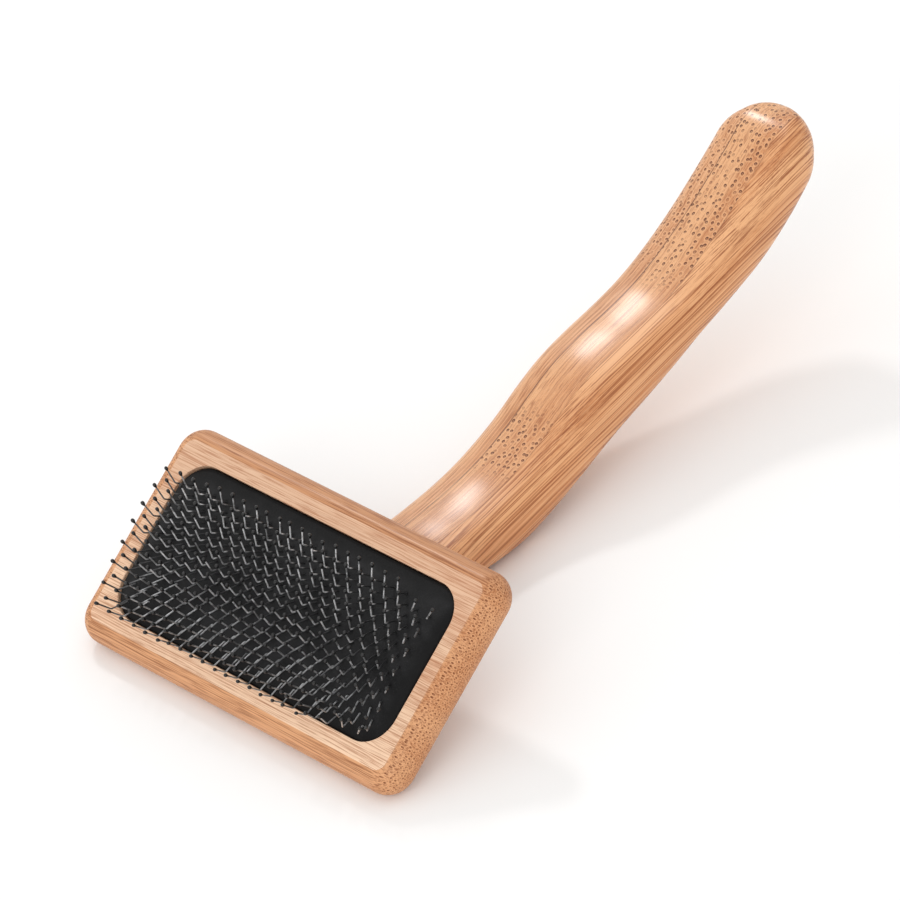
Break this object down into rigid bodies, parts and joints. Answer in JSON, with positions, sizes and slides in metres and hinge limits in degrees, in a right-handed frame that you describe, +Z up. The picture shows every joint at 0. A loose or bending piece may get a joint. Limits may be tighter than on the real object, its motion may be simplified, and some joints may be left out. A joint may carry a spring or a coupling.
{
  "type": "slicker brush",
  "caption": "Pet slicker brush with a rounded wooden head, a crowned rubber cushion of bent ball-tipped wire pins and a raked laminated handle.",
  "frame": {"origin": "centre of the brush's footprint, on the floor it rests on", "axes": "+Z up, +Y along the brush from the head's lower edge to the end of the handle, X along the head"},
  "size_m": [0.115, 0.2046, 0.0551],
  "materials": {
    "bamboo": "satin lacquer",
    "rubber": "matte",
    "cloth": "plain weave",
    "foam": "open-cell foam, matte",
    "wire": "bright drawn wire",
    "tip_resin": "dipped, glossy",
    "screw_steel": "zinc plated"
  },
  "bodies": {
    "handle_and_head": {"head_block": "bamboo", "handle_core": "bamboo", "handle_side_left": "bamboo", "handle_side_right": "bamboo", "mounting_screws": "screw_steel"},
    "cushion": {"rubber_pad": "rubber", "backing_cloth": "cloth", "foam_pad": "foam"},
    "row_01": {"staples_row_01": "wire", "tips_row_01": "tip_resin"},
    "row_02": {"staples_row_02": "wire", "tips_row_02": "tip_resin"},
    "row_03": {"staples_row_03": "wire", "tips_row_03": "tip_resin"},
    "row_04": {"staples_row_04": "wire", "tips_row_04": "tip_resin"},
    "row_05": {"staples_row_05": "wire", "tips_row_05": "tip_resin"},
    "row_06": {"staples_row_06": "wire", "tips_row_06": "tip_resin"},
    "row_07": {"staples_row_07": "wire", "tips_row_07": "tip_resin"},
    "row_08": {"staples_row_08": "wire", "tips_row_08": "tip_resin"},
    "row_09": {"staples_row_09": "wire", "tips_row_09": "tip_resin"},
    "row_10": {"staples_row_10": "wire", "tips_row_10": "tip_resin"},
    "row_11": {"staples_row_11": "wire", "tips_row_11": "tip_resin"},
    "row_12": {"staples_row_12": "wire", "tips_row_12": "tip_resin"},
    "row_13": {"staples_row_13": "wire", "tips_row_13": "tip_resin"},
    "row_14": {"staples_row_14": "wire", "tips_row_14": "tip_resin"},
    "row_15": {"staples_row_15": "wire", "tips_row_15": "tip_resin"}
  },
  "joints": [
    {"name": "cushion_press", "type": "slide", "parent": "handle_and_head", "child": "cushion", "axis": [0, 0.5392, -0.8422], "range_m": [0, 0.001], "stiffness_N_per_m": 6000, "springref_m": -0.0003},
    {"name": "pins_lean_01", "type": "hinge", "parent": "cushion", "child": "row_01", "pos_m": [0, -0.09402, 0.01251], "axis": [1, 0, 0], "range_deg": [-5, 2], "stiffness_Nm_per_rad": 0.02},
    {"name": "pins_lean_02", "type": "hinge", "parent": "cushion", "child": "row_02", "pos_m": [0, -0.09229, 0.01409], "axis": [1, 0, 0], "range_deg": [-5, 2], "stiffness_Nm_per_rad": 0.02},
    {"name": "pins_lean_03", "type": "hinge", "parent": "cushion", "child": "row_03", "pos_m": [0, -0.09054, 0.01561], "axis": [1, 0, 0], "range_deg": [-5, 2], "stiffness_Nm_per_rad": 0.02},
    {"name": "pins_lean_04", "type": "hinge", "parent": "cushion", "child": "row_04", "pos_m": [0, -0.08875, 0.01708], "axis": [1, 0, 0], "range_deg": [-5, 2], "stiffness_Nm_per_rad": 0.02},
    {"name": "pins_lean_05", "type": "hinge", "parent": "cushion", "child": "row_05", "pos_m": [0, -0.08693, 0.01851], "axis": [1, 0, 0], "range_deg": [-5, 2], "stiffness_Nm_per_rad": 0.02},
    {"name": "pins_lean_06", "type": "hinge", "parent": "cushion", "child": "row_06", "pos_m": [0, -0.08509, 0.01989], "axis": [1, 0, 0], "range_deg": [-5, 2], "stiffness_Nm_per_rad": 0.02},
    {"name": "pins_lean_07", "type": "hinge", "parent": "cushion", "child": "row_07", "pos_m": [0, -0.08321, 0.02123], "axis": [1, 0, 0], "range_deg": [-5, 2], "stiffness_Nm_per_rad": 0.02},
    {"name": "pins_lean_08", "type": "hinge", "parent": "cushion", "child": "row_08", "pos_m": [0, -0.0813, 0.02252], "axis": [1, 0, 0], "range_deg": [-5, 2], "stiffness_Nm_per_rad": 0.02},
    {"name": "pins_lean_09", "type": "hinge", "parent": "cushion", "child": "row_09", "pos_m": [0, -0.07937, 0.02376], "axis": [1, 0, 0], "range_deg": [-5, 2], "stiffness_Nm_per_rad": 0.02},
    {"name": "pins_lean_10", "type": "hinge", "parent": "cushion", "child": "row_10", "pos_m": [0, -0.0774, 0.02495], "axis": [1, 0, 0], "range_deg": [-5, 2], "stiffness_Nm_per_rad": 0.02},
    {"name": "pins_lean_11", "type": "hinge", "parent": "cushion", "child": "row_11", "pos_m": [0, -0.0754, 0.0261], "axis": [1, 0, 0], "range_deg": [-5, 2], "stiffness_Nm_per_rad": 0.02},
    {"name": "pins_lean_12", "type": "hinge", "parent": "cushion", "child": "row_12", "pos_m": [0, -0.07338, 0.0272], "axis": [1, 0, 0], "range_deg": [-5, 2], "stiffness_Nm_per_rad": 0.02},
    {"name": "pins_lean_13", "type": "hinge", "parent": "cushion", "child": "row_13", "pos_m": [0, -0.07132, 0.02826], "axis": [1, 0, 0], "range_deg": [-5, 2], "stiffness_Nm_per_rad": 0.02},
    {"name": "pins_lean_14", "type": "hinge", "parent": "cushion", "child": "row_14", "pos_m": [0, -0.06924, 0.02926], "axis": [1, 0, 0], "range_deg": [-5, 2], "stiffness_Nm_per_rad": 0.02},
    {"name": "pins_lean_15", "type": "hinge", "parent": "cushion", "child": "row_15", "pos_m": [0, -0.06712, 0.03022], "axis": [1, 0, 0], "range_deg": [-5, 2], "stiffness_Nm_per_rad": 0.02}
  ],
  "couplings": [
    {"joint": "pins_lean_01", "follows": "pins_lean_08", "ratio": 1},
    {"joint": "pins_lean_02", "follows": "pins_lean_08", "ratio": 1},
    {"joint": "pins_lean_03", "follows": "pins_lean_08", "ratio": 1},
    {"joint": "pins_lean_04", "follows": "pins_lean_08", "ratio": 1},
    {"joint": "pins_lean_05", "follows": "pins_lean_08", "ratio": 1},
    {"joint": "pins_lean_06", "follows": "pins_lean_08", "ratio": 1},
    {"joint": "pins_lean_07", "follows": "pins_lean_08", "ratio": 1},
    {"joint": "pins_lean_09", "follows": "pins_lean_08", "ratio": 1},
    {"joint": "pins_lean_10", "follows": "pins_lean_08", "ratio": 1},
    {"joint": "pins_lean_11", "follows": "pins_lean_08", "ratio": 1},
    {"joint": "pins_lean_12", "follows": "pins_lean_08", "ratio": 1},
    {"joint": "pins_lean_13", "follows": "pins_lean_08", "ratio": 1},
    {"joint": "pins_lean_14", "follows": "pins_lean_08", "ratio": 1},
    {"joint": "pins_lean_15", "follows": "pins_lean_08", "ratio": 1}
  ]
}
